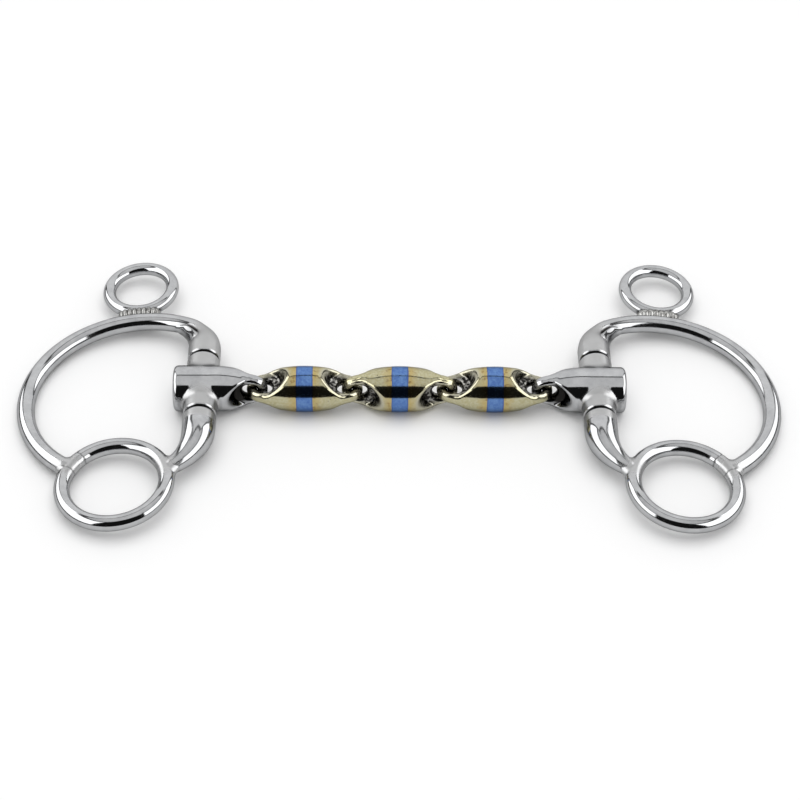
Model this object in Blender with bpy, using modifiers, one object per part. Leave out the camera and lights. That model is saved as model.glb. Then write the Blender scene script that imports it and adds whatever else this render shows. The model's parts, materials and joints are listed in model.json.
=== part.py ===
"""A snaffle bit with hinged bow cheeks and a mouthpiece of three chain links between two barrels.

Units are metres. +X runs along the mouthpiece to the right cheek, +Y towards the cheekpiece rings
and +Z up. The bit lies flat on z = 0, with its origin under the middle of its outline.

Each link and barrel is turned, then cut by one shared cutter per eye. A cheek lies in the plane of
its own pivot empty: u runs outward from the hinge axis and v along it, towards the cheekpiece ring.
"""
from math import acos, asin, atan2, cos, hypot, pi, radians, sin, sqrt

import bmesh
import bpy

MM = 0.001

# Mouthpiece
MOUTH_WIDTH = 125.0 * MM  # between the inner faces of the two hinge bosses
MOUTH_DIAMETER = 16.0 * MM
LINK_PITCH = 32.7 * MM  # from one interlock to the next
CROWN_RADIUS = 50.0 * MM  # of the arc that swells a link in the middle
EYE_BAR = 3.7 * MM  # round bar that closes an eye
EYE_HOLE = 6.0 * MM
EYE_EDGE = 1.5 * MM  # rounding of the bar's outer edges
SCOOP_REACH = 7.4 * MM  # from the eye's centre to the scoop's edge on the surface
BAND_WIDTH = 5.7 * MM
BAND_DEPTH = 0.9 * MM
BARREL_END = 9.5 * MM  # from the hinge axis to the barrel's outer face
BARREL_EDGE = 1.6 * MM

# Hinge
BOSS_DIAMETER = 11.4 * MM
BOSS_STAND = 5.4 * MM  # how far the boss stands out of the barrel
BOSS_EDGE = 0.6 * MM
SPINDLE_DIAMETER = 5.0 * MM
SPINDLE_SEAT = 5.0 * MM  # how far the spindle runs into each knuckle

# Cheek, in the plane of its pivot
BOW_RADIUS = 38.1 * MM
BOW_CENTRE_U = 22.6 * MM
BOW_CENTRE_V = -2.7 * MM
BOW_WIRE = 6.2 * MM
ELBOW_RADIUS = 11.0 * MM
ELBOW_TAPER = 2.8 * MM  # length of the taper before the bend
LEG_STRAIGHT = 20.0 * MM  # from the mouthpiece axis to the start of the leg's bend
LEG_RADIUS = 19.5 * MM
LEG_END = 7.0 * MM  # diameter where the leg meets the rein ring
REIN_RING_RADIUS = 17.5 * MM
REIN_RING_WIRE = 5.4 * MM
REIN_RING_U = 26.8 * MM
REIN_RING_V = -42.9 * MM
TOP_RING_RADIUS = 11.4 * MM
TOP_RING_WIRE = 4.5 * MM
TOP_RING_TURN = radians(87.5)  # place on the bow, from the outward direction
WELD_LENGTH = 15.0 * MM
WELD_WIDTH = 5.2 * MM
WELD_HEIGHT = 4.6 * MM

CLEARANCE = 0.3 * MM  # between pieces that touch or turn on each other
CUT_PAST = 2.0 * MM  # how far a cutter runs past the surface that it opens
SLOT_LIFT = 0.05 * MM  # of a slot's floor over the eye's bar
BAND_SINK = 0.03 * MM  # of a band under the link's surface
MERGE_DISTANCE = 0.001 * MM  # points closer than this are one

# Facets
TURNED_STEPS = 24
EYE_STEPS = 20
RING_STEPS = 28
WIRE_SIDES = 10
BOW_STEPS = 22
ARC_STEPS = 4
EDGE_STEPS = 3

# Sizes that follow from the ones above
MOUTH_RADIUS = MOUTH_DIAMETER / 2
BOSS_RADIUS = BOSS_DIAMETER / 2
BOW_WIRE_RADIUS = BOW_WIRE / 2
HINGE_X = MOUTH_WIDTH / 2 + BOSS_RADIUS
BAR_OFFSET = (EYE_BAR + CLEARANCE) / 2  # from an interlock to each of its two bars
LINK_TIP = LINK_PITCH / 2 + BAR_OFFSET + EYE_BAR / 2
EYE_TIP = EYE_HOLE / 2 + EYE_BAR  # from an eye's centre to its tip
LINK_BAR_X = LINK_PITCH / 2 - BAR_OFFSET  # the side link's bar, inside the centre link's eye
BARREL_BAR_X = 1.5 * LINK_PITCH - BAR_OFFSET  # the barrel's bar, inside the side link's eye
BARREL_TIP = BARREL_BAR_X - EYE_BAR / 2 - HINGE_X
JOINT_PLANE = MOUTH_RADIUS + BOSS_STAND
RING_REACH = REIN_RING_RADIUS + REIN_RING_WIRE / 4  # bow and leg run on to here before they are cut
BOW_REACH = BOW_CENTRE_U + BOW_RADIUS
DROOP = asin((MOUTH_RADIUS - BOW_WIRE_RADIUS) / BOW_REACH)  # the bow rests on the table
TOP_RING_DISTANCE = BOW_RADIUS + BOW_WIRE_RADIUS + CLEARANCE + TOP_RING_WIRE / 2 + TOP_RING_RADIUS
TOP_RING_U = BOW_CENTRE_U + TOP_RING_DISTANCE * cos(TOP_RING_TURN)
TOP_RING_V = BOW_CENTRE_V + TOP_RING_DISTANCE * sin(TOP_RING_TURN)
FAR_SIDE = TOP_RING_V + TOP_RING_RADIUS + TOP_RING_WIRE / 2
NEAR_SIDE = REIN_RING_V - REIN_RING_RADIUS - REIN_RING_WIRE / 2
MOUTH_Y = -(FAR_SIDE + NEAR_SIDE) / 2

# Finishes: base colour, roughness and metallic value
POLISHED_STEEL = ((0.72, 0.72, 0.71), 0.12, 1.0)
SATIN_STEEL = ((0.60, 0.60, 0.60), 0.30, 1.0)
WELD_STEEL = ((0.62, 0.61, 0.59), 0.38, 1.0)
STRAW_IRON = ((0.56, 0.47, 0.30), 0.24, 1.0)
BLUED_IRON = ((0.10, 0.22, 0.42), 0.28, 1.0)


def new_collection(name):
    """Add an empty collection to the scene."""
    collection = bpy.data.collections.new(name)
    bpy.context.scene.collection.children.link(collection)
    return collection


def add_object(name, data, collection, parent=None, location=(0, 0, 0), rotation=(0, 0, 0)):
    """Place a mesh, a curve or, with no data, an empty under its parent."""
    item = bpy.data.objects.new(name, data)
    collection.objects.link(item)
    item.parent = parent
    item.location = location
    item.rotation_euler = rotation
    return item


def add_pivot(name, parent=None, location=(0, 0, 0), rotation=(0, 0, 0)):
    """Place an empty that carries one moving body."""
    return add_object(name, None, pieces, parent, location, rotation)


def add_cutter(name, data, parent=None, location=(0, 0, 0), rotation=(0, 0, 0)):
    """Place a tool body that cuts or joins pieces and isn't a piece itself."""
    cutter = add_object(name, data, cutters, parent, location, rotation)
    cutter.hide_render = True
    cutter.display_type = "WIRE"
    return cutter


def add_piece(name, data, finish, parent, location=(0, 0, 0), rotation=(0, 0, 0)):
    """Place one piece of the bit, shaded smooth, with its own metal."""
    piece = add_object(name, data, pieces, parent, location, rotation)
    colour, roughness, metallic = finish
    material = bpy.data.materials.new(name + "_metal")
    material.use_nodes = True
    shader = material.node_tree.nodes["Principled BSDF"]
    shader.inputs["Base Color"].default_value = (*colour, 1.0)
    shader.inputs["Roughness"].default_value = roughness
    shader.inputs["Metallic"].default_value = metallic
    data.materials.append(material)
    data.shade_smooth()
    return piece


def combine(item, tool, operation="DIFFERENCE"):
    """Cut a body with a tool, or join the two."""
    boolean = item.modifiers.new(tool.name, "BOOLEAN")
    boolean.operation = operation
    boolean.solver = "EXACT"
    boolean.object = tool


def evaluated_mesh(item, name):
    """Return what an object's curve or modifiers come to, as one welded mesh."""
    bpy.context.view_layer.update()
    depsgraph = bpy.context.evaluated_depsgraph_get()
    mesh = bpy.data.meshes.new_from_object(item.evaluated_get(depsgraph))
    mesh.name = name
    shape = bmesh.new()
    shape.from_mesh(mesh)
    bmesh.ops.remove_doubles(shape, verts=shape.verts, dist=MERGE_DISTANCE)
    shape.to_mesh(mesh)
    shape.free()
    return mesh


def arc(centre_a, centre_b, radius, start, end, steps):
    """List points along an arc in a plane, both ends included."""
    turns = [start + (end - start) * step / steps for step in range(steps + 1)]
    return [(centre_a + radius * cos(turn), centre_b + radius * sin(turn)) for turn in turns]


def bar_turns(radius, start, end, steps):
    """Divide a bar's bend into turns, with a short first and last step that leave its ends square."""
    short = CLEARANCE / radius * (1 if end > start else -1)
    turns = [start + (end - start) * step / steps for step in range(steps + 1)]
    return [start, start + short] + turns[1:-1] + [end - short, end]


def meeting_turn(centre, radius, other_centre, other_radius, side):
    """Find the turn on a circle where it meets another, on the side given by +1 or -1."""
    across = other_centre[0] - centre[0]
    along = other_centre[1] - centre[1]
    distance = hypot(across, along)
    share = (radius**2 + distance**2 - other_radius**2) / (2 * radius * distance)
    return atan2(along, across) + side * acos(share)


def ease(share):
    """Run smoothly from 0 to 1, level at both ends."""
    share = min(max(share, 0.0), 1.0)
    return share * share * (3 - 2 * share)


def outline_mesh(name, points, axis, closed=False):
    """Join (along, out) points into the outline of a turned body, from its high end to its low end."""
    if axis == "X":
        corners = [(along, out, 0) for along, out in points]
    else:
        corners = [(out, 0, along) for along, out in points]
    edges = [(i, i + 1) for i in range(len(points) - 1)]
    if closed:
        edges.append((len(points) - 1, 0))
    mesh = bpy.data.meshes.new(name)
    mesh.from_pydata(corners, edges, [])
    return mesh


def turn(item, axis, steps=TURNED_STEPS):
    """Turn an object's outline into a solid of revolution about its own axis."""
    screw = item.modifiers.new("turned", "SCREW")
    screw.axis = axis
    screw.angle = 2 * pi
    screw.steps = steps
    screw.render_steps = steps
    screw.use_merge_vertices = True
    screw.merge_threshold = MERGE_DISTANCE


def tube_mesh(name, path, radii):
    """Sweep a round bar along points of the cheek's plane, with its own radius at each point."""
    curve = bpy.data.curves.new(name, "CURVE")
    curve.dimensions = "3D"
    curve.twist_mode = "Z_UP"
    curve.bevel_depth = max(radii)
    curve.bevel_resolution = WIRE_SIDES // 2 - 2
    curve.use_fill_caps = True
    spline = curve.splines.new("POLY")
    spline.points.add(len(path) - 1)
    for point, (u, v), radius in zip(spline.points, path, radii):
        point.co = (u, v, 0, 1)
        point.radius = radius / max(radii)
    guide = add_object(name, curve, cutters)
    mesh = evaluated_mesh(guide, name)
    bpy.data.objects.remove(guide)
    bpy.data.curves.remove(curve)
    return mesh


def mesh_of_new_primitive(name):
    """Take the mesh of the primitive that was added last and remove its object."""
    primitive = bpy.context.object
    mesh = primitive.data
    mesh.name = name
    bpy.data.objects.remove(primitive)
    return mesh


def ring_mesh(name, radius, wire_radius):
    """Make a round ring lying in its own XY plane."""
    bpy.ops.mesh.primitive_torus_add(
        major_radius=radius,
        minor_radius=wire_radius,
        major_segments=RING_STEPS,
        minor_segments=WIRE_SIDES,
    )
    return mesh_of_new_primitive(name)


def cylinder_mesh(name, radius, depth):
    """Make a plain cylinder about its own Z axis."""
    bpy.ops.mesh.primitive_cylinder_add(radius=radius, depth=depth, vertices=TURNED_STEPS)
    return mesh_of_new_primitive(name)


def slot_mesh(name, side):
    """Hull four circles into the open end of a scoop, above the eye or, with side -1, below it."""
    floor = EYE_BAR / 2 + SLOT_LIFT
    top = MOUTH_RADIUS + CUT_PAST
    past_tip = EYE_TIP + CUT_PAST
    circles = [
        (0, (EYE_HOLE + EYE_BAR) / 2 - CLEARANCE, floor),
        (0, SCOOP_REACH - CLEARANCE, top),
        (past_tip, MOUTH_RADIUS, floor),
        (past_tip, MOUTH_RADIUS + CUT_PAST, top),
    ]
    shape = bmesh.new()
    for along, radius, height in circles:
        for step in range(EYE_STEPS):
            angle = 2 * pi * step / EYE_STEPS
            shape.verts.new((along + radius * cos(angle), radius * sin(angle), side * height))
    hull = bmesh.ops.convex_hull(shape, input=shape.verts)
    inside = [part for part in hull["geom_interior"] if isinstance(part, bmesh.types.BMVert)]
    bmesh.ops.delete(shape, geom=inside, context="VERTS")
    bmesh.ops.recalc_face_normals(shape, faces=shape.faces)
    mesh = bpy.data.meshes.new(name)
    shape.to_mesh(mesh)
    shape.free()
    return mesh


def tip_rounder_mesh():
    """Make the half ring that rounds the outer edges of an eye's bar."""
    half_bar = EYE_BAR / 2
    level = half_bar - EYE_EDGE
    shoulder = EYE_TIP - EYE_EDGE
    outline = [(half_bar + CUT_PAST, EYE_TIP + CUT_PAST), (half_bar + CUT_PAST, shoulder)]
    outline += arc(level, shoulder, EYE_EDGE, 0, pi / 2, EDGE_STEPS)
    outline += arc(-level, shoulder, EYE_EDGE, pi / 2, pi, EDGE_STEPS)
    outline += [(-half_bar - CUT_PAST, shoulder), (-half_bar - CUT_PAST, EYE_TIP + CUT_PAST)]
    rounder = add_cutter("tip_rounder", outline_mesh("tip_rounder", outline, "Z", closed=True))
    turn(rounder, "Z", EYE_STEPS)
    block_size = 4 * EYE_TIP
    bpy.ops.mesh.primitive_cube_add(size=block_size)
    block = add_cutter("body_side", mesh_of_new_primitive("body_side"), None, (-block_size / 2, 0, 0))
    combine(rounder, block)
    return evaluated_mesh(rounder, "tip_rounder_half")


def eye_cutter_mesh():
    """Make what an eye leaves open: its rounded hole and the scoops on both faces.

    The eye's centre is the origin, its hole runs along Z and its tip points along +X.
    """
    half_bar = EYE_BAR / 2
    rim = EYE_HOLE / 2 + half_bar
    top = MOUTH_RADIUS + CUT_PAST
    ramp = (SCOOP_REACH - rim) / (MOUTH_RADIUS - half_bar)
    flare = rim + ramp * (top - half_bar)
    outline = [(top, 0), (top, flare)]
    outline += arc(0, rim, half_bar, 0, -pi, 2 * EDGE_STEPS)
    outline += [(-top, flare), (-top, 0)]
    hole = add_cutter("eye_hole", outline_mesh("eye_hole", outline, "Z"))
    turn(hole, "Z", EYE_STEPS)
    for name, side in (("upper_slot", 1), ("lower_slot", -1)):
        combine(hole, add_cutter(name, slot_mesh(name, side)), "UNION")
    return evaluated_mesh(hole, "eye_cutter")


def crown_height(along):
    """Give the radius of a link at a distance from its middle."""
    return sqrt(CROWN_RADIUS**2 - along**2) - CROWN_RADIUS + MOUTH_RADIUS


def nose_outline(stop):
    """List a link's outline from its tip to a distance along its crown, as two arcs that touch."""
    crown_drop = CROWN_RADIUS - MOUTH_RADIUS
    end_radius = (CROWN_RADIUS**2 - LINK_TIP**2 - crown_drop**2) / (2 * (CROWN_RADIUS - LINK_TIP))
    end_centre = LINK_TIP - end_radius
    touch = atan2(crown_drop, end_centre)
    end = arc(end_centre, 0, end_radius, 0, touch, ARC_STEPS)
    crown = arc(0, -crown_drop, CROWN_RADIUS, touch, acos(stop / CROWN_RADIUS), ARC_STEPS)
    return end + crown[1:]


def cut_eye(body, along, facing):
    """Cut an eye whose tip faces +X or, with facing -1, -X."""
    rotation = (0, 0, 0 if facing > 0 else pi)
    for tool in eye_tools:
        combine(body, add_cutter(f"{body.name}_{tool.name}", tool, body, (along, 0, 0), rotation))


def add_link(name, pivot, along, rotation):
    """Turn one link with its groove, cut both eyes and lay its band in the groove."""
    groove_edge = BAND_WIDTH / 2 + CLEARANCE
    band_inside = MOUTH_RADIUS - BAND_DEPTH
    band_outside = crown_height(groove_edge) - BAND_SINK
    groove = band_inside - CLEARANCE
    half = nose_outline(groove_edge) + [(groove_edge, groove)]
    outline = half + [(-x, radius) for x, radius in reversed(half)]
    place = (along, 0, 0)
    link = add_piece(name, outline_mesh(name, outline, "X"), STRAW_IRON, pivot, place, rotation)
    turn(link, "X")
    for facing in (1, -1):
        cut_eye(link, facing * (LINK_TIP - EYE_TIP), facing)
    half_band = BAND_WIDTH / 2
    section = [
        (half_band, band_outside),
        (-half_band, band_outside),
        (-half_band, band_inside),
        (half_band, band_inside),
    ]
    band_name = name + "_band"
    band_mesh = outline_mesh(band_name, section, "X", closed=True)
    band = add_piece(band_name, band_mesh, BLUED_IRON, pivot, place, rotation)
    turn(band, "X")


def add_barrel(name, pivot, along):
    """Turn an end barrel, join its hinge boss, bore it for the spindle and cut its eye."""
    middle = BARREL_TIP + LINK_TIP
    shoulder = BARREL_END - BARREL_EDGE
    outline = [(BARREL_END, 0)]
    outline += arc(shoulder, MOUTH_RADIUS - BARREL_EDGE, BARREL_EDGE, 0, pi / 2, EDGE_STEPS)
    outline += [(middle - x, radius) for x, radius in reversed(nose_outline(0))]
    upright = (pi / 2, 0, 0)
    mesh = outline_mesh(name, outline, "X")
    barrel = add_piece(name, mesh, POLISHED_STEEL, pivot, (along, 0, 0), upright)
    turn(barrel, "X")

    face = JOINT_PLANE - CLEARANCE / 2
    rim = BOSS_RADIUS - BOSS_EDGE
    boss_outline = [(face, 0), (face, rim), (face - BOSS_EDGE, BOSS_RADIUS)]
    boss_outline += [(-height, radius) for height, radius in reversed(boss_outline)]
    boss = add_cutter(name + "_boss", outline_mesh("boss", boss_outline, "Z"), barrel)
    turn(boss, "Z")
    combine(barrel, boss, "UNION")

    bore_mesh = cylinder_mesh("bore", SPINDLE_DIAMETER / 2 + CLEARANCE, 2 * (face + CUT_PAST))
    combine(barrel, add_cutter(name + "_bore", bore_mesh, barrel))
    cut_eye(barrel, BARREL_TIP + EYE_TIP, -1)


def upper_knuckle_path():
    """List the elbow's centreline and radii, from the hinge face to where it touches the bow."""
    bend_v = BOW_CENTRE_V + sqrt((BOW_RADIUS - ELBOW_RADIUS) ** 2 - (ELBOW_RADIUS - BOW_CENTRE_U) ** 2)
    touch = atan2(bend_v - BOW_CENTRE_V, ELBOW_RADIUS - BOW_CENTRE_U)
    face = JOINT_PLANE + CLEARANCE / 2
    path = [(0, face), (0, face + BOSS_EDGE), (0, bend_v - ELBOW_TAPER)]
    radii = [BOSS_RADIUS - BOSS_EDGE, BOSS_RADIUS, BOSS_RADIUS]
    length = ELBOW_TAPER + ELBOW_RADIUS * (pi - touch)
    for bend in bar_turns(ELBOW_RADIUS, pi, touch, 2 * ARC_STEPS):
        run = ELBOW_TAPER + ELBOW_RADIUS * (pi - bend)
        path.append((ELBOW_RADIUS + ELBOW_RADIUS * cos(bend), bend_v + ELBOW_RADIUS * sin(bend)))
        radii.append(BOSS_RADIUS + (BOW_WIRE_RADIUS - BOSS_RADIUS) * ease(run / length))
    return path, radii, touch


def lower_knuckle_path(ring_centre):
    """List the leg's centreline and radii, from the hinge face to the rein ring."""
    face = JOINT_PLANE + CLEARANCE / 2
    path = [(0, -face), (0, -face - BOSS_EDGE)]
    radii = [BOSS_RADIUS - BOSS_EDGE, BOSS_RADIUS]
    bend_centre = (LEG_RADIUS, -LEG_STRAIGHT)
    end = meeting_turn(bend_centre, LEG_RADIUS, ring_centre, RING_REACH, -1)
    for bend in bar_turns(LEG_RADIUS, -pi, end, 2 * ARC_STEPS):
        share = (bend + pi) / (end + pi)
        path.append((LEG_RADIUS + LEG_RADIUS * cos(bend), -LEG_STRAIGHT + LEG_RADIUS * sin(bend)))
        radii.append(BOSS_RADIUS + (LEG_END / 2 - BOSS_RADIUS) * ease(share))
    return path, radii


def add_cheek(side, pivot):
    """Make one cheek: spindle, knuckles, bow, the two rings and the weld under the small ring."""
    ring_centre = (REIN_RING_U, REIN_RING_V)
    ring_place = (*ring_centre, 0)
    ring_cutter_mesh = ring_mesh("rein_ring_room", REIN_RING_RADIUS, REIN_RING_WIRE / 2 + CLEARANCE)
    ring_cutter = add_cutter(f"{side}_rein_ring_room", ring_cutter_mesh, pivot, ring_place)
    rein_ring_mesh = ring_mesh(f"{side}_rein_ring", REIN_RING_RADIUS, REIN_RING_WIRE / 2)
    add_piece(f"{side}_rein_ring", rein_ring_mesh, POLISHED_STEEL, pivot, ring_place)

    half_spindle = JOINT_PLANE + SPINDLE_SEAT
    spindle_rim = SPINDLE_DIAMETER / 2 - BOSS_EDGE
    spindle_outline = [
        (half_spindle, 0),
        (half_spindle, spindle_rim),
        (half_spindle - BOSS_EDGE, SPINDLE_DIAMETER / 2),
    ]
    spindle_outline += [(-along, radius) for along, radius in reversed(spindle_outline)]
    along_hinge = (pi / 2, 0, 0)
    spindle_mesh = outline_mesh(f"{side}_spindle", spindle_outline, "Z")
    spindle = add_piece(f"{side}_spindle", spindle_mesh, SATIN_STEEL, pivot, rotation=along_hinge)
    turn(spindle, "Z", TURNED_STEPS // 2)
    socket_mesh = cylinder_mesh("socket", SPINDLE_DIAMETER / 2 + CLEARANCE, 2 * (half_spindle + CLEARANCE))
    socket = add_cutter(f"{side}_socket", socket_mesh, pivot, rotation=along_hinge)

    path, radii, touch = upper_knuckle_path()
    upper_mesh = tube_mesh(f"{side}_upper_knuckle", path, radii)
    upper = add_piece(f"{side}_upper_knuckle", upper_mesh, SATIN_STEEL, pivot)
    combine(upper, socket)

    path, radii = lower_knuckle_path(ring_centre)
    lower_mesh = tube_mesh(f"{side}_lower_knuckle", path, radii)
    lower = add_piece(f"{side}_lower_knuckle", lower_mesh, POLISHED_STEEL, pivot)
    combine(lower, socket)
    combine(lower, ring_cutter)

    bow_centre = (BOW_CENTRE_U, BOW_CENTRE_V)
    bow_start = touch - CLEARANCE / BOW_RADIUS
    bow_end = meeting_turn(bow_centre, BOW_RADIUS, ring_centre, RING_REACH, 1)
    bow_turns = bar_turns(BOW_RADIUS, bow_start, bow_end, BOW_STEPS)
    bow_path = [
        (BOW_CENTRE_U + BOW_RADIUS * cos(bend), BOW_CENTRE_V + BOW_RADIUS * sin(bend))
        for bend in bow_turns
    ]
    bow_mesh = tube_mesh(f"{side}_bow", bow_path, [BOW_WIRE_RADIUS] * len(bow_path))
    bow = add_piece(f"{side}_bow", bow_mesh, POLISHED_STEEL, pivot)
    combine(bow, ring_cutter)

    top_place = (TOP_RING_U, TOP_RING_V, 0)
    top_mesh = ring_mesh(f"{side}_cheekpiece_ring", TOP_RING_RADIUS, TOP_RING_WIRE / 2)
    add_piece(f"{side}_cheekpiece_ring", top_mesh, POLISHED_STEEL, pivot, top_place)
    add_ring_weld(side, pivot, bow_path, top_place)


def add_ring_weld(side, pivot, bow_path, ring_place):
    """Fill the gap between the small ring and the bow with a bead that is cut to fit both."""
    shape = bmesh.new()
    bmesh.ops.create_uvsphere(shape, u_segments=WIRE_SIDES, v_segments=WIRE_SIDES, radius=0.5)
    bmesh.ops.scale(shape, vec=(WELD_LENGTH, WELD_HEIGHT, WELD_WIDTH), verts=shape.verts)
    mesh = bpy.data.meshes.new(f"{side}_ring_weld")
    shape.to_mesh(mesh)
    shape.free()
    seam = BOW_RADIUS + BOW_WIRE_RADIUS + CLEARANCE / 2
    seam_u = BOW_CENTRE_U + seam * cos(TOP_RING_TURN)
    seam_v = BOW_CENTRE_V + seam * sin(TOP_RING_TURN)
    tilt = (0, 0, TOP_RING_TURN - pi / 2)
    weld = add_piece(f"{side}_ring_weld", mesh, WELD_STEEL, pivot, (seam_u, seam_v, 0), tilt)
    bow_room = tube_mesh("bow_room", bow_path, [BOW_WIRE_RADIUS + CLEARANCE] * len(bow_path))
    ring_room = ring_mesh("ring_room", TOP_RING_RADIUS, TOP_RING_WIRE / 2 + CLEARANCE)
    combine(weld, add_cutter(f"{side}_bow_room", bow_room, pivot))
    combine(weld, add_cutter(f"{side}_top_ring_room", ring_room, pivot, ring_place))


for old in list(bpy.data.objects):
    bpy.data.objects.remove(old)
pieces = new_collection("snaffle_bit")
cutters = new_collection("cutters")

eye_tools = (eye_cutter_mesh(), tip_rounder_mesh())
across = (pi / 2, 0, 0)  # turns an eye's hole from upright to along Y
mouth = add_pivot("mouthpiece", None, (0, MOUTH_Y, MOUTH_RADIUS))
add_link("centre_link", mouth, 0, across)
for side, outward in (("left", -1), ("right", 1)):
    half = add_pivot(f"{side}_half", mouth, rotation=(0, 0 if outward > 0 else pi, 0))
    link_pivot = add_pivot(f"{side}_link_pivot", half, (LINK_BAR_X, 0, 0))
    add_link(f"{side}_link", link_pivot, LINK_PITCH - LINK_BAR_X, (0, 0, 0))
    barrel_pivot = add_pivot(f"{side}_barrel_pivot", link_pivot, (BARREL_BAR_X - LINK_BAR_X, 0, 0))
    hinge_run = HINGE_X - BARREL_BAR_X
    add_barrel(f"{side}_barrel", barrel_pivot, hinge_run)
    droop = (0, outward * DROOP, 0)
    add_cheek(side, add_pivot(f"{side}_cheek_pivot", barrel_pivot, (hinge_run, 0, 0), droop))
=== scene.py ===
# %% [markdown]
# # A snaffle bit with hinged bow cheeks
# The bit is a chain: three scooped links between two barrels. Each barrel carries a welded cheek, which is
# a bow with a small ring above and a large ring below, and which swings on a hinge through the barrel.
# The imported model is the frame. It fixes every place and every joint, and this lesson makes the fine
# surfaces and the finishes round it.

import json
from itertools import product
from math import acos, atan2, cos, degrees, hypot, pi, radians, sin, sqrt

import bpy
import numpy as np
from mathutils import Matrix, Vector


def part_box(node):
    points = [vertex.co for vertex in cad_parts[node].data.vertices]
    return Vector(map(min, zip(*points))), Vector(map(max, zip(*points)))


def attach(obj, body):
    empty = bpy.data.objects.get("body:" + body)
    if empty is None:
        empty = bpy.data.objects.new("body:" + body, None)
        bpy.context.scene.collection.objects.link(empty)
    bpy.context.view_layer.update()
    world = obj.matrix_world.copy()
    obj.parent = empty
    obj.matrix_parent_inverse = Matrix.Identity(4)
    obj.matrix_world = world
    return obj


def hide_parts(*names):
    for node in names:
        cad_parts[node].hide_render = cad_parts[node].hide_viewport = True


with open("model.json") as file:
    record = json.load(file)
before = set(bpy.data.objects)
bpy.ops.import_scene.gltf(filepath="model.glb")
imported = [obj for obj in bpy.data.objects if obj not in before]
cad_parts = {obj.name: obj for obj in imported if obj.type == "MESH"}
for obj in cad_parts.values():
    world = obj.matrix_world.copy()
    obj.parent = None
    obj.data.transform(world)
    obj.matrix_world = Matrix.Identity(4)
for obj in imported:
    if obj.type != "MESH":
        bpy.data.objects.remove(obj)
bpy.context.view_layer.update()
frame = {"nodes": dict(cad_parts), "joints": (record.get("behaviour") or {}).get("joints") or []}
scene = bpy.context.scene
MM = 0.001
hinges = {joint["name"]: Vector(joint["pos_m"]) for joint in frame["joints"]}
HINGE = hinges["right_cheek_hinge"]
LINK_BAR = hinges["right_link_swing"]
BARREL_BAR = hinges["right_barrel_swing"]
LINK_PITCH = BARREL_BAR.x - LINK_BAR.x
MOUTH = Vector((0, HINGE.y, HINGE.z))
print(len(frame["nodes"]), "nodes, link pitch", round(LINK_PITCH / MM, 2), "mm")

# %% [markdown]
# ## The camera
# The photograph looks down on the bit at about 45 degrees, nearly square to the mouthpiece, through a
# fairly long lens. The camera stands a touch to the left and is held almost level. The shift moves the
# frame a little, because the photograph isn't centred on the mouthpiece.

# %% Camera
PHOTO_WIDTH = 800
VIEW_RISE = radians(44.8)
VIEW_TURN = radians(-0.87)
VIEW_ROLL = radians(0.84)
VIEW_DISTANCE = 786 * MM
FOCAL_PIXELS = 2280
SENSOR_WIDTH = 36
FRAME_SHIFT = (0.3, -10.7)  # pixels from the mouthpiece's middle to the frame's middle

lens = bpy.data.cameras.new("photo_camera")
lens.sensor_width = SENSOR_WIDTH
lens.lens = FOCAL_PIXELS / PHOTO_WIDTH * SENSOR_WIDTH
lens.shift_x = FRAME_SHIFT[0] / PHOTO_WIDTH
lens.shift_y = FRAME_SHIFT[1] / PHOTO_WIDTH
lens.clip_start = 10 * MM
camera = bpy.data.objects.new("photo_camera", lens)
stand = Matrix.Rotation(VIEW_TURN, 3, "Z")
tilt = Matrix.Rotation(pi / 2 - VIEW_RISE, 3, "X")
camera.location = MOUTH + VIEW_DISTANCE * (stand @ Vector((0, -cos(VIEW_RISE), sin(VIEW_RISE))))
camera.rotation_euler = (stand @ tilt @ Matrix.Rotation(VIEW_ROLL, 3, "Z")).to_euler()
scene.collection.objects.link(camera)
scene.camera = camera
scene.view_settings.view_transform = "Standard"
print("camera", [round(value, 4) for value in camera.location], "lens", round(lens.lens, 1), "mm")

# %% [markdown]
# ## Sockets that add up
# Node trees are easier to read as sums than as wires. A Wire holds one socket, and Python's operators on it
# add Math nodes. Every other node comes from Graph.node: it takes the node's type, the values or wires for
# its sockets, and its settings, which are made first.

# %% Graph and Wire


class Wire:
    """One output socket, on which Python's operators add Math nodes."""

    def __init__(self, graph, socket):
        self.graph = graph
        self.socket = socket

    def maths(self, operation, *others):
        """Add a Math node whose first value is this wire."""
        return self.graph.node("ShaderNodeMath", dict(enumerate((self, *others))), operation=operation)

    def __add__(self, other):
        return self.maths("ADD", other)

    def __sub__(self, other):
        return self.maths("SUBTRACT", other)

    def __rsub__(self, other):
        return self.graph.node("ShaderNodeMath", {0: other, 1: self}, operation="SUBTRACT")

    def __mul__(self, other):
        return self.maths("MULTIPLY", other)

    def __truediv__(self, other):
        return self.maths("DIVIDE", other)

    def __pow__(self, other):
        return self.maths("POWER", other)

    def __mod__(self, other):
        return self.maths("FLOORED_MODULO", other)

    def __abs__(self):
        return self.maths("ABSOLUTE")

    __radd__ = __add__
    __rmul__ = __mul__

    def limited(self):
        """Hold a value between 0 and 1."""
        return self.maths("MAXIMUM", 0.0).maths("MINIMUM", 1.0)

    def rising(self, start, width):
        """Give 0 up to start and 1 from start plus width on, with a ramp between."""
        return ((self - start) / width).limited()

    def between(self, low, high, soft):
        """Give 1 from low to high and 0 outside, with edges that are soft wide."""
        return self.rising(low, soft) * ((high - self) / soft).limited()


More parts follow.
